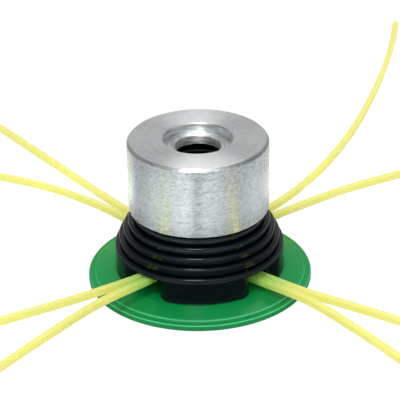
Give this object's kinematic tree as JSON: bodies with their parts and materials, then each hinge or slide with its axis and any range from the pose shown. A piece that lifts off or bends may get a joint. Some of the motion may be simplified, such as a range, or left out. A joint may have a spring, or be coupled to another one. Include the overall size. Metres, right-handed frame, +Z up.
{
  "type": "string trimmer head",
  "caption": "Fixed-line trimmer head: turned aluminium hub cap on a black ribbed body and green base disc, with square nylon cutting lines looped round its bosses.",
  "frame": {"origin": "centre of the base disc's underside, on the head's axis", "axes": "+Z up along the axis towards the gearbox, -Y to the front boss, +X to the right boss"},
  "size_m": [0.3169, 0.3899, 0.0564],
  "materials": {
    "hub_cap": "turned",
    "line_body": "semi-gloss moulded",
    "base_disc": "semi-gloss moulded",
    "screws": "zinc plated",
    "lines": "drawn nylon"
  },
  "bodies": {
    "root": {"hub_cap": "hub_cap", "line_body": "line_body", "base_disc": "base_disc", "screw_front": "screws", "screw_right": "screws", "screw_back": "screws", "screw_left": "screws", "line_front": "lines", "line_right": "lines", "line_back": "lines", "line_left": "lines"}
  },
  "joints": []
}
